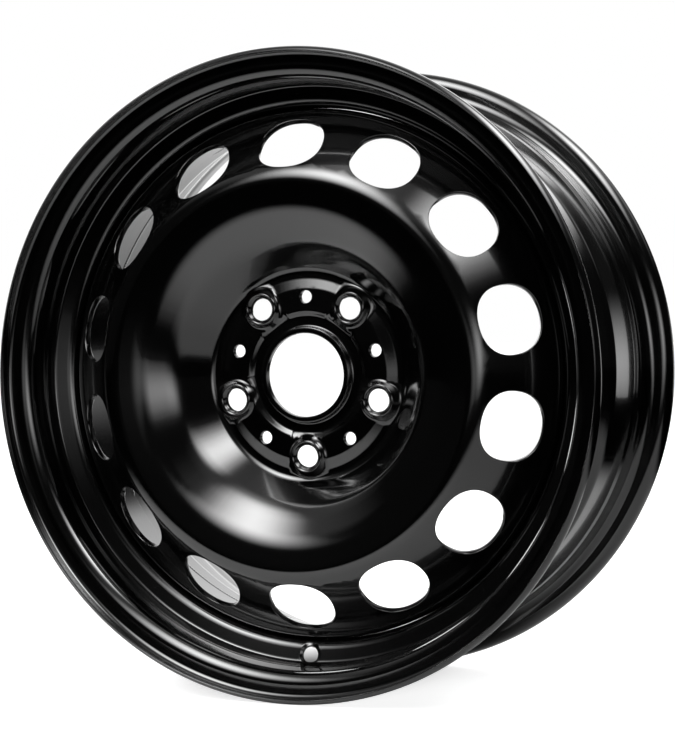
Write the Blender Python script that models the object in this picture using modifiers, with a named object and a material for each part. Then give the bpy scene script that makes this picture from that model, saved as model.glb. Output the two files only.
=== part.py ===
"""Pressed steel road wheel, 6.5J x 16, five bolts on 112 mm: a rolled rim, a pressed disc and their welds.

Metres. The wheel stands upright with its centre at the origin. It spins about Y, and its outboard side is -Y.
Sections are drawn as radius and offset, where offset is the distance outboard of the rim's middle plane.
"""

from math import acos, atan2, ceil, cos, pi, radians, sin, sqrt, tan

import bmesh
import bpy
from mathutils import Matrix, Vector

# Rim section
SEAT_RADIUS = 0.2028
BETWEEN_FLANGES = 0.1651
FLANGE_HEIGHT = 0.0173
LIP_BEND = 0.0095
LIP_WRAP = 22.0
HEEL_BEND = 0.0065
SEAT_TAPER = 5.0
HUMP_FROM_FLANGE = 0.0205
HUMP_WIDTH = 0.0100
HUMP_HEIGHT = 0.0010
RIM_SHEET = 0.0028
FRONT_LEDGE = 0.0296
REAR_LEDGE = 0.0620
WELL_DEPTH = 0.0174
FRONT_WALL_LEAN = 15.7
REAR_WALL_LEAN = 38.0
WELL_BEND = 0.0050
LEDGE_BEND = 0.0052
VALVE_HOLE = 0.0113

# Disc section
DISC_SHEET = 0.0042
WHEEL_OFFSET = 0.0460
BORE_RADIUS = 0.02855
COLLAR_HEIGHT = 0.0050
COLLAR_BEND = 0.0012
BOLT_FLAT_INWARDS = 0.0140
BOLT_FLAT_OUTWARDS = 0.0030
BOLT_FLAT_RAISE = 0.0019
STEP_WIDTH = 0.0026
SHOULDER_WIDTH = 0.0072
OUTER_LAND_WIDTH = 0.0060
HUB_BEND = 0.0060
BOWL_WIDTH = 0.0205
BOWL_DROP = 0.0124
BROW_WIDTH = 0.0232
BROW_DROP = 0.0044
BROW_BEND = 0.0360
CROWN_HEIGHT = 0.0383
CROWN_FROM_SKIRT = 0.0469
CROWN_BEND = 0.0155
VENT_SLOPE = 40.1
SKIRT_BEND = 0.0120
SKIRT_END_FROM_HUB = 0.0290
PRESS_CLEARANCE = 0.0003

# Holes in the disc
BOLT_COUNT = 5
BOLT_CIRCLE = 0.0560
BOLT_HOLE = 0.0078
BOLT_BALL = 0.0130
BOLT_SEAT = 0.0100
BOSS_TOP = 0.0106
BOSS_RAISE = 0.0034
BOSS_FLANK = 50.0
BOSS_EDGE = 0.0007
BOSS_SKIN = 0.0042
PEG_HOLES_INWARDS = 0.0025
PEG_HOLE = 0.0043
VENT_COUNT = 14
VENTS_FROM_SKIRT = 0.0251
VENT_LENGTH = 0.0434
VENT_WIDTH = 0.0465
VENT_SQUARENESS = 2.25
VENT_TURN = 0.6

# Welds
WELD_COUNT = 8
WELD_LEG = 0.0042
WELD_FULLNESS = 0.62
WELD_STEPS = 4
WELD_GAP = 0.0003

# How finely round forms are drawn
RING_STEPS = 48
LIP_STEPS = 4
BEND_STEP = 30.0
VENT_POINTS = 18
HOLE_POINTS = 16
SMALL_HOLE_POINTS = 12
MERGE = 0.00005
STRAIGHT = 0.5

# A cutter is this many times as long as the sheet that it cuts is thick
CUTTER_SHEETS = 5

# Offsets and radii that follow from the sizes above
HALF_BETWEEN = BETWEEN_FLANGES / 2
FLANGE_RADIUS = SEAT_RADIUS + FLANGE_HEIGHT
WELL_RADIUS = SEAT_RADIUS - WELL_DEPTH
LAND_FACE = WHEEL_OFFSET + DISC_SHEET
BOLT_FLAT_FACE = LAND_FACE + BOLT_FLAT_RAISE
BOSS_FACE = BOLT_FLAT_FACE + BOSS_RAISE
INNER_LAND_RADIUS = BOLT_CIRCLE - BOLT_FLAT_INWARDS
BOLT_FLAT_RADIUS = BOLT_CIRCLE + BOLT_FLAT_OUTWARDS
HUB_RADIUS = BOLT_FLAT_RADIUS + SHOULDER_WIDTH + OUTER_LAND_WIDTH
PEG_HOLE_CIRCLE = BOLT_CIRCLE - PEG_HOLES_INWARDS
SKIRT_RADIUS = WELL_RADIUS - RIM_SHEET - PRESS_CLEARANCE
SKIRT_END = WHEEL_OFFSET - SKIRT_END_FROM_HUB
VENT_CIRCLE = SKIRT_RADIUS - VENTS_FROM_SKIRT
# The brow's line and the vents' line would meet here; the crown's arc rounds them off below it
CROWN_CORNER_RADIUS = SKIRT_RADIUS - CROWN_FROM_SKIRT
CROWN_CORNER_FACE = LAND_FACE + CROWN_HEIGHT
# The bowl climbs steeply from the hub, then less so, and runs into the brow, the shallow land inside the crown
BROW_RADIUS = CROWN_CORNER_RADIUS - BROW_WIDTH
BROW_FACE = CROWN_CORNER_FACE - BROW_DROP


def clear_scene():
    for old in list(bpy.data.objects):
        bpy.data.objects.remove(old, do_unlink=True)


def new_collection(name):
    collection = bpy.data.collections.new(name)
    bpy.context.scene.collection.children.link(collection)
    return collection


def paint(name, colour, roughness):
    material = bpy.data.materials.new(name)
    material.use_nodes = True
    shader = material.node_tree.nodes["Principled BSDF"]
    shader.inputs["Base Color"].default_value = (*colour, 1.0)
    shader.inputs["Roughness"].default_value = roughness
    shader.inputs["Metallic"].default_value = 0.0
    return material


def arc(centre, radius, start, end, steps):
    """Points on an arc in the section plane, angles in degrees from the radius axis towards outboard."""
    points = []
    for step in range(steps + 1):
        angle = radians(start + (end - start) * step / steps)
        points.append((centre[0] + radius * cos(angle), centre[1] + radius * sin(angle)))
    return points


def bent_line(corners):
    """Draws a section through (radius, offset, bend) corners, whose bends are arcs that touch both sides."""
    points = [corners[0][:2]]
    for before, corner, after in zip(corners, corners[1:], corners[2:]):
        here = Vector(corner[:2])
        back = (Vector(before[:2]) - here).normalized()
        ahead = (Vector(after[:2]) - here).normalized()
        turn = pi - acos(max(-1.0, min(1.0, back.dot(ahead))))
        if corner[2] == 0.0 or turn < radians(STRAIGHT):
            points.append(tuple(here))
            continue
        centre = here + (back + ahead).normalized() * corner[2] / cos(turn / 2)
        start = here + back * corner[2] * tan(turn / 2) - centre
        side = 1.0 if start.x * (-back.y) - start.y * (-back.x) > 0.0 else -1.0
        steps = max(1, ceil(turn / radians(BEND_STEP)))
        first = atan2(start.y, start.x)
        for step in range(steps + 1):
            angle = first + side * turn * step / steps
            points.append((centre.x + corner[2] * cos(angle), centre.y + corner[2] * sin(angle)))
    points.append(corners[-1][:2])
    return points


def section_mesh(name, points):
    """A mesh of edges through the section's points, on the +X side of the axis."""
    mesh = bpy.data.meshes.new(name)
    shape = bmesh.new()
    corners = [shape.verts.new((radius, 0.0, offset)) for radius, offset in points]
    for first, second in zip(corners, corners[1:]):
        shape.edges.new((first, second))
    shape.to_mesh(mesh)
    shape.free()
    return mesh


def turned(name, points, collection, steps):
    """Turns a section round the wheel's axis."""
    piece = bpy.data.objects.new(name, section_mesh(name, points))
    collection.objects.link(piece)
    screw = piece.modifiers.new("turn", "SCREW")
    screw.axis = "Z"
    screw.steps = steps
    screw.render_steps = steps
    screw.use_merge_vertices = True
    screw.merge_threshold = MERGE
    screw.use_smooth_shade = True
    return piece


def thicken(piece, sheet):
    wall = piece.modifiers.new("sheet", "SOLIDIFY")
    wall.thickness = sheet
    wall.offset = -1.0
    wall.use_even_offset = True
    wall.use_quality_normals = True


def cut_or_join(piece, name, operation, tools):
    """Adds an exact Boolean with every object of a collection."""
    step = piece.modifiers.new(name, "BOOLEAN")
    step.operation = operation
    step.operand_type = "COLLECTION"
    step.collection = tools
    step.solver = "EXACT"


def hide_tool(tool, axle):
    tool.parent = axle
    tool.hide_render = True
    tool.display_type = "WIRE"


def around(angle, radius, offset):
    """A place on the wheel: angle in degrees from the right, towards the top."""
    return Matrix.Rotation(radians(angle), 4, "Z") @ Matrix.Translation((radius, 0.0, offset))


def bolt_angles():
    return [-90.0 + 360.0 * number / BOLT_COUNT for number in range(BOLT_COUNT)]


def flange(side):
    """The curled lip and the upright face of one flange, from the lip's edge inwards.

    Side is 1 for the outboard flange and -1 for the inboard one.
    """
    centre = (FLANGE_RADIUS - LIP_BEND, HALF_BETWEEN + LIP_BEND)
    points = arc(centre, LIP_BEND, LIP_WRAP, -90.0, LIP_STEPS)
    return [(radius, side * offset) for radius, offset in points]


def seat_radius(from_flange):
    return SEAT_RADIUS - from_flange * tan(radians(SEAT_TAPER))


def bead_seat(side, ledge):
    """Corners from the flange's face over the heel, the tapered seat and the hump to the ledge's edge."""
    half_hump = HUMP_WIDTH / 2
    hump = [(-half_hump, 0.0), (0.0, HUMP_HEIGHT), (half_hump, 0.0)]
    corners = [(FLANGE_RADIUS - LIP_BEND, 0.0, 0.0), (SEAT_RADIUS, 0.0, HEEL_BEND)]
    for along, height in hump:
        place = HUMP_FROM_FLANGE + along
        corners.append((seat_radius(place) + height, place, 0.0))
    corners.append((seat_radius(ledge), ledge, LEDGE_BEND))
    return [(radius, side * (HALF_BETWEEN - inboard), bend) for radius, inboard, bend in corners]


def rim_section():
    """The tyre side of the rim, from the outboard lip to the inboard lip."""
    front = bead_seat(1, FRONT_LEDGE)
    rear = bead_seat(-1, REAR_LEDGE)
    front_drop = seat_radius(FRONT_LEDGE) - WELL_RADIUS
    rear_drop = seat_radius(REAR_LEDGE) - WELL_RADIUS
    front_foot = HALF_BETWEEN - FRONT_LEDGE - front_drop * tan(radians(FRONT_WALL_LEAN))
    rear_foot = REAR_LEDGE - HALF_BETWEEN + rear_drop * tan(radians(REAR_WALL_LEAN))
    well = [(WELL_RADIUS, front_foot, WELL_BEND), (WELL_RADIUS, rear_foot, WELL_BEND)]
    return flange(1)[:-1] + bent_line(front + well + rear[::-1]) + flange(-1)[::-1][1:]


def front_wall_middle():
    """Radius and offset of the middle of the well's front wall, on the sheet's tyre side."""
    ledge = (seat_radius(FRONT_LEDGE), HALF_BETWEEN - FRONT_LEDGE)
    foot = (WELL_RADIUS, ledge[1] - (ledge[0] - WELL_RADIUS) * tan(radians(FRONT_WALL_LEAN)))
    return (ledge[0] + foot[0]) / 2, (ledge[1] + foot[1]) / 2


def make_rim(parts, tools, axle, material):
    rim = turned("rim", rim_section(), parts, RING_STEPS)
    rim.parent = axle
    rim.data.materials.append(material)
    thicken(rim, RIM_SHEET)
    radius, offset = front_wall_middle()
    drill = cylinder_tool("valve_drill", VALVE_HOLE / 2, CUTTER_SHEETS * RIM_SHEET, HOLE_POINTS, tools)
    lean = Matrix.Rotation(radians(FRONT_WALL_LEAN), 4, "Y")
    drill.matrix_local = around(-90.0, radius - RIM_SHEET / 2, offset + RIM_SHEET / 2) @ lean.inverted()
    hide_tool(drill, axle)
    cut_or_join(rim, "valve hole", "DIFFERENCE", tools)
    return rim


def slope_offset(radius):
    """Offset of the vents' slope at a radius, on the disc's outboard face."""
    return CROWN_CORNER_FACE - (radius - CROWN_CORNER_RADIUS) * tan(radians(VENT_SLOPE))


def disc_section():
    """The outboard face of the disc, from the collar's lip to the end of the skirt."""
    collar = BORE_RADIUS + DISC_SHEET
    half_step = STEP_WIDTH / 2
    return bent_line(
        [
            (collar, LAND_FACE + COLLAR_HEIGHT, 0.0),
            (collar, LAND_FACE, COLLAR_BEND),
            (INNER_LAND_RADIUS - half_step, LAND_FACE, 0.0),
            (INNER_LAND_RADIUS + half_step, BOLT_FLAT_FACE, 0.0),
            (BOLT_FLAT_RADIUS, BOLT_FLAT_FACE, 0.0),
            (BOLT_FLAT_RADIUS + SHOULDER_WIDTH, LAND_FACE, 0.0),
            (HUB_RADIUS, LAND_FACE, HUB_BEND),
            (BROW_RADIUS - BOWL_WIDTH, BROW_FACE - BOWL_DROP, 0.0),
            (BROW_RADIUS, BROW_FACE, BROW_BEND),
            (CROWN_CORNER_RADIUS, CROWN_CORNER_FACE, CROWN_BEND),
            (SKIRT_RADIUS, slope_offset(SKIRT_RADIUS), SKIRT_BEND),
            (SKIRT_RADIUS, SKIRT_END, 0.0),
        ]
    )


def cylinder_tool(name, radius, length, points, collection):
    mesh = bpy.data.meshes.new(name)
    shape = bmesh.new()
    bmesh.ops.create_cone(
        shape, cap_ends=True, segments=points, radius1=radius, radius2=radius, depth=length
    )
    shape.to_mesh(mesh)
    shape.free()
    tool = bpy.data.objects.new(name, mesh)
    collection.objects.link(tool)
    return tool


def vent_mesh():
    """A prism whose outline is a circle squared off a little, flatter towards the crown and the skirt."""
    outline = bpy.data.curves.new("vent_outline", "CURVE")
    outline.dimensions = "2D"
    outline.fill_mode = "BOTH"
    outline.extrude = CUTTER_SHEETS * DISC_SHEET / 2
    line = outline.splines.new("POLY")
    line.points.add(VENT_POINTS - 1)
    line.use_cyclic_u = True
    power = 2.0 / VENT_SQUARENESS
    for number, point in enumerate(line.points):
        angle = 2 * pi * (number + 0.5) / VENT_POINTS
        along = abs(cos(angle)) ** power * (1 if cos(angle) > 0 else -1)
        across = abs(sin(angle)) ** power * (1 if sin(angle) > 0 else -1)
        point.co = (along * VENT_LENGTH / 2, across * VENT_WIDTH / 2, 0.0, 1.0)
    guide = bpy.data.objects.new("vent_outline", outline)
    bpy.context.scene.collection.objects.link(guide)
    depsgraph = bpy.context.evaluated_depsgraph_get()
    mesh = bpy.data.meshes.new_from_object(guide.evaluated_get(depsgraph))
    bpy.data.objects.remove(guide)
    shape = bmesh.new()
    shape.from_mesh(mesh)
    bmesh.ops.remove_doubles(shape, verts=shape.verts, dist=MERGE)
    bmesh.ops.recalc_face_normals(shape, faces=shape.faces)
    shape.to_mesh(mesh)
    shape.free()
    return mesh


def add_vents(tools, axle):
    mesh = vent_mesh()
    down_slope = Matrix.Rotation(radians(VENT_SLOPE), 4, "Y")
    for number in range(VENT_COUNT):
        punch = bpy.data.objects.new(f"vent_punch_{number + 1}", mesh)
        tools.objects.link(punch)
        angle = -90.0 + VENT_TURN + 360.0 * number / VENT_COUNT
        punch.matrix_local = around(angle, VENT_CIRCLE, slope_offset(VENT_CIRCLE)) @ down_slope
        hide_tool(punch, axle)


def add_bosses(tools, axle):
    """A dome of metal round each bolt hole. It starts inside the sheet, so the union leaves no seam."""
    root = (LAND_FACE + WHEEL_OFFSET + BOLT_FLAT_RAISE) / 2
    height = BOSS_FACE - root
    foot = BOSS_TOP + height / tan(radians(BOSS_FLANK))
    mesh = bpy.data.meshes.new("boss")
    shape = bmesh.new()
    bmesh.ops.create_cone(
        shape, cap_ends=True, segments=HOLE_POINTS, radius1=foot, radius2=BOSS_TOP, depth=height
    )
    rim_of_top = [edge for edge in shape.edges if all(end.co.z > 0.0 for end in edge.verts)]
    bmesh.ops.bevel(
        shape, geom=rim_of_top, offset=BOSS_EDGE, segments=1, profile=0.5, affect="EDGES", material=-1
    )
    shape.to_mesh(mesh)
    shape.free()
    for number, angle in enumerate(bolt_angles()):
        boss = bpy.data.objects.new(f"boss_{number + 1}", mesh)
        tools.objects.link(boss)
        boss.matrix_local = around(angle, BOLT_CIRCLE, root + height / 2)
        hide_tool(boss, axle)


def bolt_hole_section():
    """Turned cutter of one bolt hole: ball seat, clear hole, and the hollow pressed into the boss's back."""
    ball_centre = BOSS_FACE + sqrt(BOLT_BALL**2 - BOLT_SEAT**2)
    seat_foot = ball_centre - sqrt(BOLT_BALL**2 - BOLT_HOLE**2)
    first = -atan2(ball_centre - BOSS_FACE, BOLT_SEAT) * 180 / pi
    last = -atan2(ball_centre - seat_foot, BOLT_HOLE) * 180 / pi
    seat = arc((0.0, ball_centre), BOLT_BALL, first, last, 2)
    flank = radians(BOSS_FLANK)
    ceiling = BOSS_FACE - BOSS_SKIN
    mouth = BOSS_TOP + (BOSS_FACE - WHEEL_OFFSET) / tan(flank) - BOSS_SKIN / sin(flank)
    shoulder = (BOLT_HOLE + mouth) / 2
    above = BOSS_FACE + DISC_SHEET
    below = WHEEL_OFFSET - DISC_SHEET
    hole = [(BOLT_HOLE, ceiling), (shoulder, ceiling), (mouth, WHEEL_OFFSET), (mouth, below), (0.0, below)]
    return [(0.0, above), (BOLT_SEAT, above)] + seat + hole


def add_bolt_holes(tools, axle):
    for number, angle in enumerate(bolt_angles()):
        drill = turned(f"bolt_drill_{number + 1}", bolt_hole_section(), tools, HOLE_POINTS)
        drill.matrix_local = around(angle, BOLT_CIRCLE, 0.0)
        hide_tool(drill, axle)


def add_peg_holes(tools, axle):
    length = CUTTER_SHEETS * DISC_SHEET
    for number, angle in enumerate(bolt_angles()):
        drill = cylinder_tool(f"peg_drill_{number + 1}", PEG_HOLE, length, SMALL_HOLE_POINTS, tools)
        middle = BOLT_FLAT_FACE - DISC_SHEET / 2
        drill.matrix_local = around(angle + 180.0 / BOLT_COUNT, PEG_HOLE_CIRCLE, middle)
        hide_tool(drill, axle)


def make_disc(parts, boss_tools, hole_tools, axle, material):
    disc = turned("disc", disc_section(), parts, RING_STEPS)
    disc.parent = axle
    disc.data.materials.append(material)
    thicken(disc, DISC_SHEET)
    add_bosses(boss_tools, axle)
    add_vents(hole_tools, axle)
    add_bolt_holes(hole_tools, axle)
    add_peg_holes(hole_tools, axle)
    cut_or_join(disc, "bosses", "UNION", boss_tools)
    cut_or_join(disc, "holes", "DIFFERENCE", hole_tools)
    return disc


def weld_mesh():
    """One stitch: a fillet between the skirt's end and the well, swept over whole steps of the ring."""
    well = WELL_RADIUS - RIM_SHEET - WELD_GAP
    top = SKIRT_END - WELD_GAP
    mesh = bpy.data.meshes.new("weld_bead")
    shape = bmesh.new()
    bulge = WELD_LEG * WELD_FULLNESS
    section = [(well, top), (well - WELD_LEG, top), (well - bulge, top - bulge), (well, top - WELD_LEG)]
    face = shape.faces.new([shape.verts.new((radius, 0.0, offset)) for radius, offset in section])
    bmesh.ops.spin(
        shape,
        geom=[face] + list(face.edges) + list(face.verts),
        cent=(0.0, 0.0, 0.0),
        axis=(0.0, 0.0, 1.0),
        angle=2 * pi * WELD_STEPS / RING_STEPS,
        steps=WELD_STEPS,
    )
    bmesh.ops.recalc_face_normals(shape, faces=shape.faces)
    shape.to_mesh(mesh)
    shape.free()
    return mesh


def add_welds(parts, axle, material):
    mesh = weld_mesh()
    mesh.materials.append(material)
    for number in range(WELD_COUNT):
        bead = bpy.data.objects.new(f"weld_bead_{number + 1}", mesh)
        parts.objects.link(bead)
        step = round(number * RING_STEPS / WELD_COUNT)
        bead.matrix_local = Matrix.Rotation(2 * pi * step / RING_STEPS, 4, "Z")
        bead.parent = axle


def main():
    clear_scene()
    parts = new_collection("steel_wheel")
    valve_tools = new_collection("valve_tool")
    boss_tools = new_collection("boss_tools")
    hole_tools = new_collection("hole_tools")
    axle = bpy.data.objects.new("axle_line", None)
    axle.rotation_euler = (radians(90.0), 0.0, 0.0)
    bpy.context.scene.collection.objects.link(axle)
    enamel = paint("black_enamel", (0.006, 0.006, 0.007), 0.12)
    make_rim(parts, valve_tools, axle, enamel)
    make_disc(parts, boss_tools, hole_tools, axle, enamel)
    add_welds(parts, axle, enamel)


main()
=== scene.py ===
"""Looks of a pressed steel road wheel: smooth sheets, punched edges, weld beads and gloss black enamel.

Metres and degrees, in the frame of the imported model: the wheel stands upright, spins about Y, and shows its
outboard face to -Y. A sheet is drawn as a section, radius against offset, where offset is the distance
outboard of the middle plane. Each sheet starts as a flat grid of columns round the wheel and rows across its
section. Its holes are opened in the grid, and then the grid is pressed on to the turned form of the section.
"""

from math import atan2, ceil, cos, hypot, pi, radians, sin, sqrt, tan

import bmesh
import bpy
import numpy as np
from mathutils import Matrix, Vector


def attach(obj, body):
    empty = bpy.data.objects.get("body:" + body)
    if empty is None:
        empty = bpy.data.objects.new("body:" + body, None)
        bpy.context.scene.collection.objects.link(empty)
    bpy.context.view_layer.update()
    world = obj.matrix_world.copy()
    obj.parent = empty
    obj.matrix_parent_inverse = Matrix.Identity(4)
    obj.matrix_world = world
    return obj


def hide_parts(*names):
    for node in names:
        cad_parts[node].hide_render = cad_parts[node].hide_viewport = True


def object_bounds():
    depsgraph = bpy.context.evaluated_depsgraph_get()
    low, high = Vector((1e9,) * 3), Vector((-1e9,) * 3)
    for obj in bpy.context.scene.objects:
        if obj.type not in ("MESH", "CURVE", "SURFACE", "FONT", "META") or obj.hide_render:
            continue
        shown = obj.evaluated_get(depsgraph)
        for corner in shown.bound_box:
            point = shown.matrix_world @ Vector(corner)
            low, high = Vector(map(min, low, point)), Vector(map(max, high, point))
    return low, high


# Rim section
SEAT_RADIUS = 0.2028
HALF_BETWEEN = 0.1651 / 2
FLANGE_RADIUS = SEAT_RADIUS + 0.0173
RIM_SHEET = 0.0028
FLANGE_BACK = HALF_BETWEEN + RIM_SHEET
LIP_TIP = (FLANGE_RADIUS - 0.0031, HALF_BETWEEN + 0.01305)
LIP_TOP = (FLANGE_RADIUS + 0.0005, HALF_BETWEEN + 0.0112)
LIP_ROUND = 0.0057
LIP_FOOT_RADIUS = FLANGE_RADIUS - 0.0011
LIP_BEND = 0.0080
LIP_INNER_TIP = (FLANGE_RADIUS - 0.0036, HALF_BETWEEN + 0.0124)
LIP_INNER_ROOT = (FLANGE_RADIUS - 0.0027, FLANGE_BACK + 0.0009)
LIP_INNER_BEND = 0.0040
LIP_JOIN = FLANGE_RADIUS - 0.0106
HEEL_BEND = 0.0065
SEAT_TAPER = 5.0
HUMP_PLACE = 0.0205
HUMP_HALF_WIDTH = 0.0050
HUMP_HEIGHT = 0.0010
HUMP_BEND = 0.0120
FRONT_LEDGE = 0.0296
REAR_LEDGE = 0.0620
WELL_RADIUS = SEAT_RADIUS - 0.0174
FRONT_WALL_LEAN = 15.7
REAR_WALL_LEAN = 38.0
WELL_BEND = 0.0050
LEDGE_BEND = 0.0052
VALVE_HOLE = 0.0113 / 2
VALVE_SINK = 0.0019
VALVE_SINK_DEPTH = 0.0009

# Disc section
DISC_SHEET = 0.0042
HUB_FACE = 0.0460
BORE_RADIUS = 0.02855
COLLAR_HEIGHT = 0.0050
COLLAR_BEND = 0.0016
BOLT_CIRCLE = 0.0560
INNER_LAND_RADIUS = BOLT_CIRCLE - 0.0140
BOLT_FLAT_RAISE = 0.0019
BOLT_FLAT_RADIUS = BOLT_CIRCLE + 0.0030
STEP_WIDTH = 0.0030
STEP_BEND = 0.0030
SHOULDER_WIDTH = 0.0072
SHOULDER_BEND = 0.0070
HUB_RADIUS = BOLT_FLAT_RADIUS + SHOULDER_WIDTH + 0.0060
HUB_BEND = 0.0060
BOWL_WIDTH = 0.0205
BOWL_DROP = 0.0124
BOWL_BEND = 0.0330
BROW_WIDTH = 0.0232
BROW_DROP = 0.0044
BROW_BEND = 0.0360
CROWN_BEND = 0.0155
VENT_SLOPE = 40.1
SKIRT_BEND = 0.0120
SKIRT_END = 0.0170
PRESS_CLEARANCE = 0.0003
LAND_FACE = HUB_FACE + DISC_SHEET
BOLT_FLAT_FACE = LAND_FACE + BOLT_FLAT_RAISE
SKIRT_RADIUS = WELL_RADIUS - RIM_SHEET - PRESS_CLEARANCE
CROWN_CORNER_RADIUS = SKIRT_RADIUS - 0.0469
CROWN_CORNER_FACE = LAND_FACE + 0.0383
BROW_RADIUS = CROWN_CORNER_RADIUS - BROW_WIDTH
BROW_FACE = CROWN_CORNER_FACE - BROW_DROP

# Holes and bosses of the disc
FIRST_ANGLE = -90.0
BOLT_COUNT = 5
BOLT_HOLE = 0.0078
BOLT_BALL = 0.0130
BOLT_SEAT = 0.0100
BOSS_TOP = 0.0106
BOSS_REACH = 2 * BOSS_TOP
BOSS_FACE = BOLT_FLAT_FACE + 0.0034
BOSS_FLANK = 50.0
BOSS_EDGE = 0.0009
BOSS_FOOT = 0.0014
BOSS_SKIN = 0.0042
PEG_HOLE_CIRCLE = BOLT_CIRCLE - 0.0025
PEG_HOLE = 0.0043
VENT_COUNT = 14
VENT_CIRCLE = SKIRT_RADIUS - 0.0251
VENT_HALF_LENGTH = 0.0434 / 2
VENT_HALF_WIDTH = 0.0465 / 2
VENT_SQUARENESS = 2.25
VENT_TURN = 0.6

# Welds
WELD_COUNT = 8
WELD_LEG = 0.0042
WELD_ARC = 30.0
WELD_GAP = 0.0003
WELD_FULLNESS = 0.62
WELD_BLUNTNESS = 18
WELD_PITCH = 0.0021
WELD_RIPPLE = 0.00018
WELD_RIPPLE_BOW = 0.0006

# Mesh. The disc's rows stop at these radii, after so many rows from the stop before
DISC_STOPS = (
    (0.0342, 6),
    (0.0390, 4),
    (BOLT_CIRCLE, 17),
    (0.0730, 17),
    (0.0760, 4),
    (0.1160, 10),
    (0.1362, 11),
    (VENT_CIRCLE, 12),
    (0.1779, 12),
)
DISC_COLUMNS = 350
DISC_ROW_GAP = 0.0035
DISC_WORN_EDGE = 0.0006
RIM_COLUMNS = 256
RIM_ROW_GAP = 0.0060
RIM_WORN_EDGE = 0.0003
ROW_TURN = 7.0
# A hole's outline lies on the first of these rings of the grid, and past the last the grid is as it was
BOLT_HOLE_RINGS = (5, 17)
PEG_HOLE_RINGS = (4, 9)
VENT_RINGS = (8, 12)
VALVE_HOLE_RINGS = (4, 8)
# How far outside the outline the first rings lie
BOLT_HOLE_SPREAD = (0.0, 0.0008, 0.0015, 0.0022, 0.0028, 0.0033, 0.0040, 0.0048, 0.0056, 0.0064, 0.0071)
PEG_HOLE_SPREAD = (0.0, 0.0010)
VENT_SPREAD = (0.0, 0.0012)
VALVE_HOLE_SPREAD = (0.0, 0.0009, VALVE_SINK, 0.0025)
PEG_HOLE_ROWS_INWARDS = 2
VALVE_PATCH = 0.0090
VALVE_PATCH_STEPS = 16
WELD_SIDES = 20
WELD_SLICES = 180
GRID_REACH = 0.5
SEAM = 0.000002
TRACE_STEP = radians(1.0)
PROBE = 0.0001
SHARP_ANGLE = 40.0

# Enamel
ENAMEL = (0.0004, 0.0004, 0.0004)
ENAMEL_ROUGHNESS = 0.12
ENAMEL_UNEVENNESS = 0.04
LACQUER_ROUGHNESS = 0.05
PEEL_SIZE = 0.0016
PEEL_DEPTH = 0.0000012
SWELL_SIZE = 0.0220
SWELL_DEPTH = 0.000030
DRAW_LINES = 11.0
DRAW_LENGTH = 0.0700
DRAW_DEPTH = 0.000045

# Studio: azimuth runs from the wheel's outboard side towards its right, in degrees
FLOOR_SIZE = 30.0
FLOOR_SHADE = 0.60
FLOOR_GLOW = 0.88
SHADOW_REACH = 0.60
CONTACT_PLACE = (-0.04, 0.05, 0.0)
CONTACT_SIZE = (0.07, 0.10, 1.0)
CONTACT_FADE = (0.15, 1.75)
CONTACT_SHADE = 0.85
LIT_LEFT = -0.47
LIT_FRONT = -0.53
LIT_REAR = 1.45
LIT_RIGHT = 0.57
LIT_SLANT = 0.50
LIT_FADE = 0.32
LIT_RIGHT_FADE = 0.20
LIT_RIGHT_DIM = 0.45
LIT_RIGHT_DIM_RISE = (-0.1, 0.4)
STUDIO_DARK = 0.015
STUDIO_TOP = 0.30
STUDIO_TOP_RISE = (0.45, 0.75)
STUDIO_REAR = 0.50
STUDIO_REAR_RISE = (0.35, 0.55)
STUDIO_REAR_DEPTH = (0.20, 0.50)

# Camera
CAMERA_PLACE = (0.6027, -1.3980, 0.0421)
CAMERA_AZIMUTH = 23.306
CAMERA_ELEVATION = 1.653
CAMERA_ROLL = -0.781
CAMERA_LENS = 103.43
CAMERA_SENSOR = 36.0
CAMERA_NEAREST = 0.05

# Sheets are turned round Z, with offsets along it, and then laid so that offsets run along -Y
WHEEL_TO_WORLD = Matrix.Rotation(radians(90.0), 4, "X")


def trace(corners):
    """Samples a section through (radius, offset, bend) corners: distance, radius, offset and heading."""
    first = Vector(corners[0][:2])
    heading = atan2(corners[1][1] - first.y, corners[1][0] - first.x)
    samples = [(0.0, first.x, first.y, heading)]
    place = first
    along = 0.0
    for corner, after in zip(corners[1:], corners[2:]):
        here = Vector(corner[:2])
        incoming = Vector((cos(heading), sin(heading)))
        outgoing = (Vector(after[:2]) - here).normalized()
        turn = atan2(incoming.x * outgoing.y - incoming.y * outgoing.x, incoming.dot(outgoing))
        bend = corner[2]
        start = here - incoming * bend * tan(abs(turn) / 2)
        along += (start - place).length
        samples.append((along, start.x, start.y, heading))
        side = 1.0 if turn > 0.0 else -1.0
        centre = start + Vector((-incoming.y, incoming.x)) * bend * side
        steps = max(1, ceil(abs(turn) / TRACE_STEP))
        for step in range(1, steps + 1):
            part = turn * step / steps
            place = centre + Matrix.Rotation(part, 2) @ (start - centre)
            samples.append((along + bend * abs(part), place.x, place.y, heading + part))
        along += bend * abs(turn)
        heading += turn
    last = Vector(corners[-1][:2])
    samples.append((along + (last - place).length, last.x, last.y, heading))
    return np.array(samples)


def read_section(section, along):
    """Radius, offset and the outward normal of a traced section at a distance along it."""
    radius = np.interp(along, section[:, 0], section[:, 1])
    offset = np.interp(along, section[:, 0], section[:, 2])
    heading = np.interp(along, section[:, 0], section[:, 3])
    return radius, offset, -sin(heading), cos(heading)


def along_at_radius(section, radius):
    """Distance along a section that only goes outwards, at which it reaches a radius."""
    return float(np.interp(radius, section[:, 1], section[:, 0]))


def seat_radius(from_flange):
    return SEAT_RADIUS - from_flange * tan(radians(SEAT_TAPER))


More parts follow.
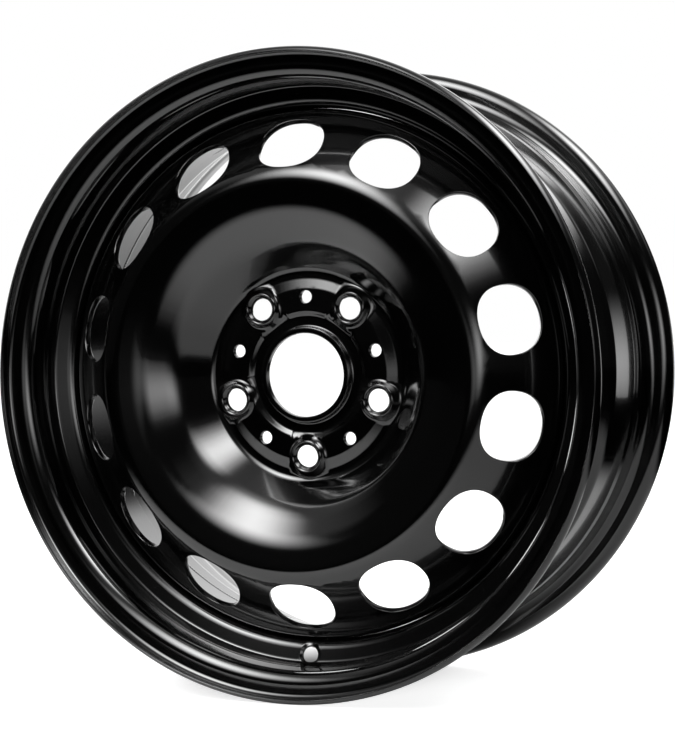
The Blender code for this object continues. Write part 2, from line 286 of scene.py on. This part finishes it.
def rim_side(ledge):
    """Corners of one side of the rim, from the lip's edge to the ledge, as if it were the outboard side."""
    corners = [
        (*LIP_TIP, 0.0),
        (*LIP_TOP, LIP_ROUND),
        (LIP_FOOT_RADIUS, HALF_BETWEEN, LIP_BEND),
        (SEAT_RADIUS, HALF_BETWEEN, HEEL_BEND),
    ]
    for step, height in ((-1, 0.0), (0, HUMP_HEIGHT), (1, 0.0)):
        place = HUMP_PLACE + step * HUMP_HALF_WIDTH
        corners.append((seat_radius(place) + height, HALF_BETWEEN - place, HUMP_BEND))
    corners.append((seat_radius(ledge), HALF_BETWEEN - ledge, LEDGE_BEND))
    return corners


def rim_section():
    """The tyre side of the rim, from the outboard lip's edge to the inboard one."""
    front = rim_side(FRONT_LEDGE)
    rear = [(radius, -offset, bend) for radius, offset, bend in rim_side(REAR_LEDGE)]
    front_foot = front[-1][1] - (front[-1][0] - WELL_RADIUS) * tan(radians(FRONT_WALL_LEAN))
    rear_foot = rear[-1][1] + (rear[-1][0] - WELL_RADIUS) * tan(radians(REAR_WALL_LEAN))
    well = [(WELL_RADIUS, front_foot, WELL_BEND), (WELL_RADIUS, rear_foot, WELL_BEND)]
    return trace(front + well + rear[::-1])


def lip_section():
    """The hollow side of the outboard lip, from its tip to the flat of the flange."""
    return trace([(*LIP_INNER_TIP, 0.0), (*LIP_INNER_ROOT, LIP_INNER_BEND), (LIP_JOIN, FLANGE_BACK, 0.0)])


def disc_section():
    """The outboard face of the disc, from the collar's lip to the end of the skirt."""
    collar = BORE_RADIUS + DISC_SHEET
    skirt_corner = CROWN_CORNER_FACE - (SKIRT_RADIUS - CROWN_CORNER_RADIUS) * tan(radians(VENT_SLOPE))
    return trace(
        [
            (collar, LAND_FACE + COLLAR_HEIGHT, 0.0),
            (collar, LAND_FACE, COLLAR_BEND),
            (INNER_LAND_RADIUS - STEP_WIDTH / 2, LAND_FACE, STEP_BEND),
            (INNER_LAND_RADIUS + STEP_WIDTH / 2, BOLT_FLAT_FACE, STEP_BEND),
            (BOLT_FLAT_RADIUS, BOLT_FLAT_FACE, SHOULDER_BEND),
            (BOLT_FLAT_RADIUS + SHOULDER_WIDTH, LAND_FACE, SHOULDER_BEND),
            (HUB_RADIUS, LAND_FACE, HUB_BEND),
            (BROW_RADIUS - BOWL_WIDTH, BROW_FACE - BOWL_DROP, BOWL_BEND),
            (BROW_RADIUS, BROW_FACE, BROW_BEND),
            (CROWN_CORNER_RADIUS, CROWN_CORNER_FACE, CROWN_BEND),
            (SKIRT_RADIUS, skirt_corner, SKIRT_BEND),
            (SKIRT_RADIUS, SKIRT_END, 0.0),
        ]
    )


def even_rows(section, longest, sharpest):
    """Distances along a section for its rows, with no gap over longest and no turn over sharpest."""
    steps = np.diff(section[:, 0]) / longest
    turns = np.abs(np.diff(section[:, 3])) / radians(sharpest)
    cost = np.concatenate([[0.0], np.cumsum(np.maximum(steps, turns))])
    return np.interp(np.linspace(0.0, cost[-1], ceil(cost[-1]) + 1), cost, section[:, 0])


def smoothstep(value):
    value = min(max(value, 0.0), 1.0)
    return value * value * (3.0 - 2.0 * value)


def soft_greater(a, b, width):
    """The greater of two heights, with the corner between them rounded over a width."""
    blend = max(width - abs(a - b), 0.0) / width
    return max(a, b) + blend * blend * width / 4


class Hole:
    """A hole opened in the grid. Rings of the grid, counted from its middle, close in on its outline."""

    def __init__(self, row, column, first, last, spread, place):
        self.row = row
        self.column = column
        self.first = first
        self.last = last
        self.spread = spread
        self.place = place

    def ring_of(self, row, column, columns):
        across = (column - self.column + columns // 2) % columns - columns // 2
        return max(abs(row - self.row), abs(across)), row - self.row, across

    def settle(self, ring, rows_off, columns_off, along, angle):
        """Moves a grid point towards its place on the outline of its ring."""
        if rows_off == 0 and columns_off == 0:
            return along, angle
        if abs(rows_off) >= abs(columns_off):
            turn = columns_off / ring * pi / 4
            direction = turn if rows_off > 0 else pi - turn
        else:
            turn = rows_off / ring * pi / 4
            direction = pi / 2 - turn if columns_off > 0 else turn - pi / 2
        grown = self.spread[min(ring - self.first, len(self.spread) - 1)]
        ring_along, ring_angle = self.place(direction, grown)
        held = self.first + len(self.spread) - 1
        loose = smoothstep((ring - held) / (self.last - held))
        way_round = (angle - ring_angle + pi) % (2 * pi) - pi
        return ring_along + (along - ring_along) * loose, ring_angle + way_round * loose


def press_sheet(name, section, rows, angles, holes, front_shape, back_shape, edge):
    """Presses a flat grid on to a turned section, with its holes, a back, walls and worn edges."""
    columns = len(angles)
    count = len(rows)
    pressed = bmesh.new()
    bmesh.ops.create_grid(pressed, x_segments=columns, y_segments=count - 1, size=GRID_REACH)
    flat_along = pressed.verts.layers.float.new("along")
    flat_angle = pressed.verts.layers.float.new("angle")
    inside = []
    for point in pressed.verts:
        column = round((point.co.x + GRID_REACH) * columns)
        row = round((point.co.y + GRID_REACH) * (count - 1))
        along = rows[row]
        angle = angles[column % columns] + (2 * pi if column == columns else 0.0)
        for hole in holes:
            ring, rows_off, columns_off = hole.ring_of(row, column % columns, columns)
            if ring < hole.first:
                inside.append(point)
            elif ring < hole.last:
                along, angle = hole.settle(ring, rows_off, columns_off, along, angle)
        point[flat_along] = along
        point[flat_angle] = angle
    bmesh.ops.delete(pressed, geom=inside, context="VERTS")
    facing = pressed.verts.layers.float_vector.new("facing")
    for point in pressed.verts:
        point.co, point[facing] = place_and_facing(front_shape, section, point[flat_along], point[flat_angle])
    bmesh.ops.remove_doubles(pressed, verts=pressed.verts, dist=SEAM)
    thick = bmesh.ops.extrude_face_region(pressed, geom=list(pressed.faces))
    backs = [item for item in thick["geom"] if isinstance(item, bmesh.types.BMVert)]
    for point in backs:
        point.co, out = place_and_facing(back_shape, section, point[flat_along], point[flat_angle])
        point[facing] = -out
    at_back = set(backs)
    walls = {face for face in pressed.faces if len({corner in at_back for corner in face.verts}) == 2}
    rims = [border for border in pressed.edges if len(set(border.link_faces) & walls) == 1]
    for border in rims:
        for corner in border.verts:
            corner[facing] = Vector()
    bmesh.ops.recalc_face_normals(pressed, faces=pressed.faces)
    bmesh.ops.bevel(
        pressed,
        geom=rims,
        offset=edge,
        segments=2,
        profile=0.5,
        affect="EDGES",
        material=-1,
        clamp_overlap=True,
    )
    bmesh.ops.transform(pressed, matrix=WHEEL_TO_WORLD, verts=pressed.verts)
    bmesh.ops.recalc_face_normals(pressed, faces=pressed.faces)
    normals = [WHEEL_TO_WORLD.to_3x3() @ point[facing] for point in pressed.verts]
    piece = finished(name, pressed)
    piece.data.normals_split_custom_set_from_vertices(normals)
    return piece


def place_and_facing(shape, section, along, angle):
    """A point of a pressed form, and the direction that the form faces there."""
    place = shape(section, along, angle)
    down = shape(section, along + PROBE, angle) - shape(section, along - PROBE, angle)
    turn = PROBE / max(hypot(place.x, place.y), PROBE)
    across = shape(section, along, angle + turn) - shape(section, along, angle - turn)
    return place, down.cross(across).normalized()


def finished(name, shape):
    """Makes an object of a bmesh, smooth apart from its sharp edges."""
    mesh = bpy.data.meshes.new(name)
    shape.to_mesh(mesh)
    shape.free()
    mesh.shade_smooth()
    mesh.set_sharp_from_angle(angle=radians(SHARP_ANGLE))
    piece = bpy.data.objects.new(name, mesh)
    bpy.context.scene.collection.objects.link(piece)
    return piece


def turned(section, along, angle, depth=0.0):
    """A point of a section turned round the wheel's axis, at a depth under its surface."""
    radius, offset, normal_radius, normal_offset = read_section(section, along)
    radius -= depth * normal_radius
    return Vector((radius * cos(angle), radius * sin(angle), offset - depth * normal_offset))


def bolt_angles():
    return [radians(FIRST_ANGLE + 360.0 * number / BOLT_COUNT) for number in range(BOLT_COUNT)]


def from_nearest_bolt(point):
    bolts = [(BOLT_CIRCLE * cos(angle), BOLT_CIRCLE * sin(angle)) for angle in bolt_angles()]
    return min(hypot(point.x - x, point.y - y) for x, y in bolts)


def boss_height(away):
    """Offset of a bolt boss's outside at a distance from the middle of its hole."""
    if away < BOSS_TOP - BOSS_EDGE:
        return BOSS_FACE
    flank = BOSS_FACE - (away - BOSS_TOP) * tan(radians(BOSS_FLANK))
    return -soft_greater(-BOSS_FACE, -flank, BOSS_EDGE)


def disc_front(section, along, angle):
    """A point of the disc's outboard face, with the bosses and ball seats pressed into it."""
    point = turned(section, along, angle)
    away = from_nearest_bolt(point)
    if away > BOSS_REACH:
        return point
    point.z = soft_greater(point.z, boss_height(away), BOSS_FOOT)
    if away < BOLT_SEAT:
        ball_centre = BOSS_FACE + sqrt(BOLT_BALL**2 - BOLT_SEAT**2)
        point.z = ball_centre - sqrt(BOLT_BALL**2 - max(away, BOLT_HOLE) ** 2)
    return point


def disc_back(section, along, angle):
    """A point of the disc's inboard face, with the hollow that each boss leaves behind it."""
    point = turned(section, along, angle, DISC_SHEET)
    away = from_nearest_bolt(turned(section, along, angle))
    if away > BOSS_REACH:
        return point
    shrink = BOSS_SKIN * tan(radians(BOSS_FLANK) / 2)
    flank = BOSS_FACE - BOSS_SKIN - (away - BOSS_TOP + shrink) * tan(radians(BOSS_FLANK))
    hollow = -soft_greater(BOSS_SKIN - BOSS_FACE, -flank, BOSS_FOOT)
    point.z = soft_greater(point.z, hollow, BOSS_FOOT)
    return point


def circle_on_land(section, radius, angle, size):
    """The outline of a round hole in the flat of the disc, grown by a margin, as distance along and angle."""

    def place(direction, grown):
        outwards = radius + (size + grown) * cos(direction)
        across = (size + grown) * sin(direction)
        return along_at_radius(section, hypot(outwards, across)), angle + atan2(across, outwards)

    return place


def vent_outline(section, angle):
    """The outline of a vent: a squared-off circle punched square to the slope that it stands in."""
    slope = radians(VENT_SLOPE)
    power = 2.0 / VENT_SQUARENESS

    def place(direction, grown):
        outward = 1 if cos(direction) > 0 else -1
        sideward = 1 if sin(direction) > 0 else -1
        along = abs(cos(direction)) ** power * outward * (VENT_HALF_LENGTH + grown)
        across = abs(sin(direction)) ** power * sideward * (VENT_HALF_WIDTH + grown)
        outwards = VENT_CIRCLE + along * cos(slope) - (across * sin(slope)) ** 2 / (2 * VENT_CIRCLE)
        middle = along_at_radius(section, VENT_CIRCLE)
        radius = hypot(outwards, across)
        return middle + (radius - VENT_CIRCLE) / cos(slope), angle + atan2(across, outwards)

    return place


def make_disc():
    section = disc_section()
    rows = [0.0]
    row_at = {}
    for radius, count in DISC_STOPS:
        rows += list(np.linspace(rows[-1], along_at_radius(section, radius), count + 1)[1:])
        row_at[radius] = len(rows) - 1
    tail = section[section[:, 0] >= rows[-1] - SEAM]
    rows += list(even_rows(tail, DISC_ROW_GAP, ROW_TURN)[1:])
    angles = [radians(FIRST_ANGLE + 360.0 * column / DISC_COLUMNS) for column in range(DISC_COLUMNS)]
    holes = []
    bolt_row = row_at[BOLT_CIRCLE]
    peg_row = bolt_row - PEG_HOLE_ROWS_INWARDS
    bolt_pitch = DISC_COLUMNS // BOLT_COUNT
    for number, angle in enumerate(bolt_angles()):
        column = number * bolt_pitch
        outline = circle_on_land(section, BOLT_CIRCLE, angle, BOLT_HOLE)
        holes.append(Hole(bolt_row, column, *BOLT_HOLE_RINGS, BOLT_HOLE_SPREAD, outline))
        outline = circle_on_land(section, PEG_HOLE_CIRCLE, angle + pi / BOLT_COUNT, PEG_HOLE)
        holes.append(Hole(peg_row, column + bolt_pitch // 2, *PEG_HOLE_RINGS, PEG_HOLE_SPREAD, outline))
    for number in range(VENT_COUNT):
        column = number * DISC_COLUMNS // VENT_COUNT
        outline = vent_outline(section, radians(FIRST_ANGLE + VENT_TURN + 360.0 * number / VENT_COUNT))
        holes.append(Hole(row_at[VENT_CIRCLE], column, *VENT_RINGS, VENT_SPREAD, outline))
    return press_sheet("disc_pressing", section, rows, angles, holes, disc_front, disc_back, DISC_WORN_EDGE)


def valve_outline(section, middle, angle):
    """The outline of the valve hole, in the front wall of the well."""

    def place(direction, grown):
        size = VALVE_HOLE + grown
        radius = np.interp(middle, section[:, 0], section[:, 1])
        return middle + size * cos(direction), angle + size * sin(direction) / radius

    return place


def rim_inside(lip, reach, valve):
    """The rim's side away from the tyre: a sheet's thickness down, with hollow lips and a countersink."""

    def shape(section, along, angle):
        from_end = min(along, section[-1, 0] - along)
        if from_end >= reach:
            away = hypot(along - valve, (angle - radians(FIRST_ANGLE)) * WELL_RADIUS)
            sink = min(1.0, max(0.0, (VALVE_HOLE + VALVE_SINK - away) / VALVE_SINK))
            return turned(section, along, angle, RIM_SHEET - sink * VALVE_SINK_DEPTH)
        point = turned(lip, lip[-1, 0] * from_end / reach, angle)
        if along > section[-1, 0] / 2:
            point.z = -point.z
        return point

    return shape


def make_rim():
    section = rim_section()
    rows = even_rows(section, RIM_ROW_GAP, ROW_TURN)
    wall_top = seat_radius(FRONT_LEDGE)
    wall = section[(section[:, 2] > 0.0) & (section[:, 1] < wall_top) & (section[:, 1] > WELL_RADIUS)]
    middle = float(np.interp(-(wall_top + WELL_RADIUS) / 2, -wall[:, 1], wall[:, 0]))
    patch = np.linspace(middle - VALVE_PATCH, middle + VALVE_PATCH, VALVE_PATCH_STEPS + 1)
    before = rows[rows < middle - VALVE_PATCH]
    after = rows[rows > middle + VALVE_PATCH]
    rows = np.concatenate([before, patch, after])
    spread = VALVE_PATCH / WELL_RADIUS
    near = np.linspace(-spread, spread, VALVE_PATCH_STEPS + 1)
    far = np.linspace(spread, 2 * pi - spread, RIM_COLUMNS - VALVE_PATCH_STEPS + 1)[1:-1]
    angles = [radians(FIRST_ANGLE) + angle for angle in np.concatenate([near, far])]
    outline = valve_outline(section, middle, radians(FIRST_ANGLE))
    column = VALVE_PATCH_STEPS // 2
    holes = [Hole(len(before) + column, column, *VALVE_HOLE_RINGS, VALVE_HOLE_SPREAD, outline)]
    face = section[(section[:, 2] > HALF_BETWEEN - SEAM) & (section[:, 0] > LIP_ROUND + LIP_BEND)]
    reach = float(np.interp(-LIP_JOIN, -face[:, 1], face[:, 0]))
    inside = rim_inside(lip_section(), reach, middle)
    return press_sheet("rolled_rim", section, rows, angles, holes, turned, inside, RIM_WORN_EDGE)


def weld_stitch(number):
    """One stitch of weld: a long drop of metal with rounded ends and a ripple for each step of the torch."""
    well = WELL_RADIUS - RIM_SHEET - WELD_GAP
    top = SKIRT_END - WELD_GAP
    middle = radians((number + 0.5) * WELD_ARC + number * (360.0 / WELD_COUNT - WELD_ARC))
    half_arc = radians(WELD_ARC) / 2
    sunk = WELD_LEG * (1.0 - WELD_FULLNESS)
    bead = bmesh.new()
    bmesh.ops.create_grid(bead, x_segments=WELD_SLICES, y_segments=WELD_SIDES, size=GRID_REACH)
    for point in bead.verts:
        along = 2.0 * round((point.co.x + GRID_REACH) * WELD_SLICES) / WELD_SLICES - 1.0
        way = 2 * pi * round((point.co.y + GRID_REACH) * WELD_SIDES) / WELD_SIDES
        size = sqrt(1.0 - abs(along) ** WELD_BLUNTNESS)
        bowed = along * half_arc * well + WELD_RIPPLE_BOW * cos(way)
        across = (WELD_LEG * WELD_FULLNESS + WELD_RIPPLE * cos(2 * pi * bowed / WELD_PITCH)) * size
        radius = min(well, well - sunk + across * cos(way))
        offset = min(top, top - sunk + across * sin(way))
        angle = middle + along * half_arc
        point.co = Vector((radius * cos(angle), radius * sin(angle), offset))
    bmesh.ops.remove_doubles(bead, verts=bead.verts, dist=SEAM)
    bmesh.ops.transform(bead, matrix=WHEEL_TO_WORLD, verts=bead.verts)
    bmesh.ops.recalc_face_normals(bead, faces=bead.faces)
    return finished(f"weld_stitch_{number + 1}", bead)


class Wire:
    """A shader's socket that can take part in sums, which add Math nodes."""

    def __init__(self, nodes, socket):
        self.nodes = nodes
        self.socket = socket

    def maths(self, operation, first, second):
        return self.nodes.add("Math", {"operation": operation}, {0: first, 1: second})

    def __add__(self, other):
        return self.maths("ADD", self, other)

    def __radd__(self, other):
        return self.maths("ADD", other, self)

    def __sub__(self, other):
        return self.maths("SUBTRACT", self, other)

    def __rsub__(self, other):
        return self.maths("SUBTRACT", other, self)

    def __mul__(self, other):
        return self.maths("MULTIPLY", self, other)

    def __rmul__(self, other):
        return self.maths("MULTIPLY", other, self)


class Nodes:
    """The node tree of a material or a world, which starts empty."""

    def __init__(self, owner):
        owner.use_nodes = True
        self.tree = owner.node_tree
        self.tree.nodes.clear()

    def add(self, kind, settings=None, sockets=None, output=0):
        """Adds a node with its settings and its sockets' values or wires, and returns one of its outputs."""
        node = self.tree.nodes.new("ShaderNode" + kind)
        for name, value in (settings or {}).items():
            setattr(node, name, value)
        for name, value in (sockets or {}).items():
            if isinstance(value, Wire):
                self.tree.links.new(value.socket, node.inputs[name])
            else:
                node.inputs[name].default_value = value
        return Wire(self, node.outputs[output]) if node.outputs else None


def black_enamel():
    """Gloss black stove enamel: lacquer over orange peel, slow swells and the radial marks of pressing."""
    material = bpy.data.materials.new("black_enamel")
    nodes = Nodes(material)
    place = nodes.add("TexCoord", output="Object")
    peel = nodes.add("TexNoise", {}, {"Vector": place, "Scale": 1 / PEEL_SIZE, "Detail": 1.0})
    swell = nodes.add("TexNoise", {}, {"Vector": place, "Scale": 1 / SWELL_SIZE, "Detail": 2.0})
    flat = nodes.add("VectorMath", {"operation": "MULTIPLY"}, {0: place, 1: (1.0, 0.0, 1.0)})
    spoke = nodes.add("VectorMath", {"operation": "NORMALIZE"}, {0: flat})
    spoke = nodes.add("VectorMath", {"operation": "SCALE"}, {0: spoke, "Scale": DRAW_LINES})
    flat = nodes.add("VectorMath", {"operation": "SCALE"}, {0: flat, "Scale": 1 / DRAW_LENGTH})
    spoke = nodes.add("VectorMath", {"operation": "ADD"}, {0: spoke, 1: flat})
    drawn = nodes.add("TexNoise", {}, {"Vector": spoke, "Scale": 1.0, "Detail": 2.0})
    height = peel * PEEL_DEPTH + swell * SWELL_DEPTH + drawn * DRAW_DEPTH
    bump = nodes.add("Bump", {}, {"Height": height, "Distance": 1.0, "Strength": 1.0})
    enamel = nodes.add(
        "BsdfPrincipled",
        {},
        {
            "Base Color": (*ENAMEL, 1.0),
            "Roughness": ENAMEL_ROUGHNESS + ENAMEL_UNEVENNESS * swell,
            "Coat Weight": 1.0,
            "Coat Roughness": LACQUER_ROUGHNESS,
            "Normal": bump,
        },
    )
    nodes.add("OutputMaterial", {}, {"Surface": enamel})
    return material


def direction_of(azimuth, elevation):
    """A direction from the wheel: azimuth from its outboard side towards its right, elevation above level."""
    level = cos(radians(elevation))
    return Vector((sin(radians(azimuth)) * level, -cos(radians(azimuth)) * level, sin(radians(elevation))))


def ramp(nodes, value, start, end):
    """A smooth step from 0 at the start to 1 at the end."""
    return nodes.add(
        "MapRange",
        {"interpolation_type": "SMOOTHSTEP"},
        {"Value": value, "From Min": start, "From Max": end},
    )


def softbox(name, azimuth, elevation, distance, size, tilt, fade, brightness):
    """A lamp that faces the wheel and fades towards its edges, over a share of the way to its middle."""
    width, height = size
    lamp = bpy.data.lights.new(name, "AREA")
    lamp.shape = "RECTANGLE"
    lamp.size = width
    lamp.size_y = height
    lamp.energy = brightness * pi * width * height
    nodes = Nodes(lamp)
    place = nodes.add("NewGeometry", output="Parametric")
    light = 1.0
    for axis in ("X", "Y"):
        share = nodes.add("SeparateXYZ", {}, {"Vector": place}, axis)
        light = light * ramp(nodes, share, 0.0, fade / 2) * ramp(nodes, share, 1.0, 1.0 - fade / 2)
    glow = nodes.add("Emission", {}, {"Color": light})
    nodes.add("OutputLight", {}, {"Surface": glow})
    stand = bpy.data.objects.new(name, lamp)
    bpy.context.scene.collection.objects.link(stand)
    away = direction_of(azimuth, elevation)
    right = Vector((cos(radians(azimuth)), sin(radians(azimuth)), 0.0))
    facing = Matrix((right, away.cross(right), away)).transposed().to_4x4()
    stand.matrix_world = Matrix.Translation(away * distance) @ facing @ Matrix.Rotation(radians(tilt), 4, "Z")


def studio_lamps():
    """Each lamp's name, azimuth, elevation and distance, then its size, tilt, fade and brightness."""
    softbox("left_lamp", -15.0, 47.0, 2.2, (1.78, 2.90), -2.0, 1.0, 10.8)
    softbox("right_lamp", 76.0, 56.0, 1.45, (2.10, 0.95), 28.0, 1.0, 12.5)
    softbox("front_glow", 35.5, 5.0, 1.8, (1.75, 0.80), 14.0, 1.0, 2.8)
    softbox("front_haze", 7.0, -1.0, 2.2, (1.60, 0.60), 0.0, 1.0, 0.8)
    softbox("left_fill", -114.0, 28.0, 2.2, (2.40, 3.00), 0.0, 0.5, 1.9)
    softbox("rear_glow", 147.0, 0.0, 2.0, (1.10, 0.90), 0.0, 1.0, 1.1)
    softbox("backdrop_glow", -155.0, 20.0, 1.2, (1.80, 1.60), 0.0, 0.2, 1.4)


def studio_world():
    """The studio round the wheel, which the camera sees white and the wheel sees dark."""
    world = bpy.data.worlds.new("studio")
    bpy.context.scene.world = world
    nodes = Nodes(world)
    direction = nodes.add("TexCoord", output="Generated")
    upwards = nodes.add("SeparateXYZ", {}, {"Vector": direction}, "Z")
    backwards = nodes.add("SeparateXYZ", {}, {"Vector": direction}, "Y")
    top = STUDIO_TOP * ramp(nodes, upwards, *STUDIO_TOP_RISE)
    rear = STUDIO_REAR * ramp(nodes, upwards, *STUDIO_REAR_RISE) * ramp(nodes, backwards, *STUDIO_REAR_DEPTH)
    light = STUDIO_DARK + top + rear
    seen = nodes.add("LightPath", output="Is Camera Ray")
    strength = seen + light * (1.0 - seen)
    glow = nodes.add("Background", {}, {"Color": (1.0, 1.0, 1.0, 1.0), "Strength": strength})
    nodes.add("OutputWorld", {}, {"Surface": glow})


def floor_paint():
    """Pale, with the wheel's soft shadow: partly cast by the lamps, and partly a painted shadow round where
    it stands. The wheel mirrors it dark past its lit stretch, which is painted shade.
    """
    material = bpy.data.materials.new("pale_floor")
    nodes = Nodes(material)
    place = nodes.add("TexCoord", output="Object")
    across = nodes.add("SeparateXYZ", {}, {"Vector": place}, "X")
    along = nodes.add("SeparateXYZ", {}, {"Vector": place}, "Y")
    slanted = across + LIT_SLANT * along
    # Painted shade for the wheel's reflections: past this lit stretch the floor is mirrored black, and within
    # it the floor is mirrored dimmer towards its right.
    lit = ramp(nodes, across, LIT_LEFT - LIT_FADE / 2, LIT_LEFT + LIT_FADE / 2)
    lit = lit * ramp(nodes, slanted, LIT_RIGHT + LIT_RIGHT_FADE / 2, LIT_RIGHT - LIT_RIGHT_FADE / 2)
    lit = lit * ramp(nodes, along, LIT_FRONT - LIT_FADE / 2, LIT_FRONT + LIT_FADE / 2)
    lit = lit * ramp(nodes, along, LIT_REAR + LIT_FADE / 2, LIT_REAR - LIT_FADE / 2)
    lit = lit * (1.0 - LIT_RIGHT_DIM * ramp(nodes, across, *LIT_RIGHT_DIM_RISE))
    mirrored = nodes.add("LightPath", output="Is Glossy Ray")
    shade = nodes.add("BsdfDiffuse", {}, {"Color": (FLOOR_SHADE, FLOOR_SHADE, FLOOR_SHADE, 1.0)})
    dark = nodes.add("BsdfDiffuse", {}, {"Color": (0.0, 0.0, 0.0, 1.0)})
    seen = nodes.add("LightPath", output="Is Camera Ray")
    # Painted contact shadow: a soft dark patch placed round where the wheel stands, not cast by the lamps.
    # The camera sees the floor dark there, with its white glow held back.
    from_contact = nodes.add("VectorMath", {"operation": "SUBTRACT"}, {0: place, 1: CONTACT_PLACE})
    from_contact = nodes.add("VectorMath", {"operation": "DIVIDE"}, {0: from_contact, 1: CONTACT_SIZE})
    from_contact = nodes.add("VectorMath", {"operation": "LENGTH"}, {0: from_contact}, "Value")
    clear = (1.0 - CONTACT_SHADE) + CONTACT_SHADE * ramp(nodes, from_contact, *CONTACT_FADE)
    unlit = mirrored * (1.0 - lit) + seen * (1.0 - clear)
    plain = nodes.add("MixShader", {}, {0: unlit, 1: shade, 2: dark})
    away = nodes.add("VectorMath", {"operation": "LENGTH"}, {0: place}, "Value")
    white = clear * (FLOOR_GLOW + (1.0 - FLOOR_GLOW) * ramp(nodes, away, SHADOW_REACH / 2, SHADOW_REACH))
    glow = nodes.add("Emission", {}, {"Strength": seen * white})
    both = nodes.add("AddShader", {}, {0: plain, 1: glow})
    nodes.add("OutputMaterial", {}, {"Surface": both})
    return material


def pale_floor():
    mesh = bpy.data.meshes.new("floor")
    plane = bmesh.new()
    bmesh.ops.create_grid(plane, x_segments=1, y_segments=1, size=FLOOR_SIZE / 2)
    plane.to_mesh(mesh)
    plane.free()
    floor = bpy.data.objects.new("floor", mesh)
    floor.location = (0.0, 0.0, CAD_BOX[0].z)
    bpy.context.scene.collection.objects.link(floor)
    mesh.materials.append(floor_paint())


def place_camera():
    lens = bpy.data.cameras.new("camera")
    lens.sensor_width = CAMERA_SENSOR
    lens.lens = CAMERA_LENS
    lens.clip_start = CAMERA_NEAREST
    camera = bpy.data.objects.new("camera", lens)
    bpy.context.scene.collection.objects.link(camera)
    turn = Matrix.Rotation(radians(CAMERA_AZIMUTH), 4, "Z")
    tilt = Matrix.Rotation(radians(90.0 - CAMERA_ELEVATION), 4, "X")
    roll = Matrix.Rotation(radians(CAMERA_ROLL), 4, "Z")
    camera.matrix_world = Matrix.Translation(CAMERA_PLACE) @ turn @ tilt @ roll
    bpy.context.scene.camera = camera


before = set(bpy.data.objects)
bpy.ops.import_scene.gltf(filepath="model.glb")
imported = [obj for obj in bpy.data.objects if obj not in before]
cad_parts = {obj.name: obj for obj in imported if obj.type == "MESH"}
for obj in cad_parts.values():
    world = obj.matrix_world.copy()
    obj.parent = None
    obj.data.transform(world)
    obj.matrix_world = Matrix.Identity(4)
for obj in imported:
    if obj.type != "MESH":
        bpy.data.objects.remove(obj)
CAD_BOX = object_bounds()
place_camera()
bpy.context.scene.view_settings.view_transform = "Standard"
enamel = black_enamel()
pieces = {"disc": make_disc(), "rim": make_rim()}
for number in range(WELD_COUNT):
    pieces[f"weld_bead_{number + 1}"] = weld_stitch(number)
for node, piece in pieces.items():
    piece.data.materials.append(enamel)
    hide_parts(node)
    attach(piece, "root")
pale_floor()
studio_lamps()
studio_world()
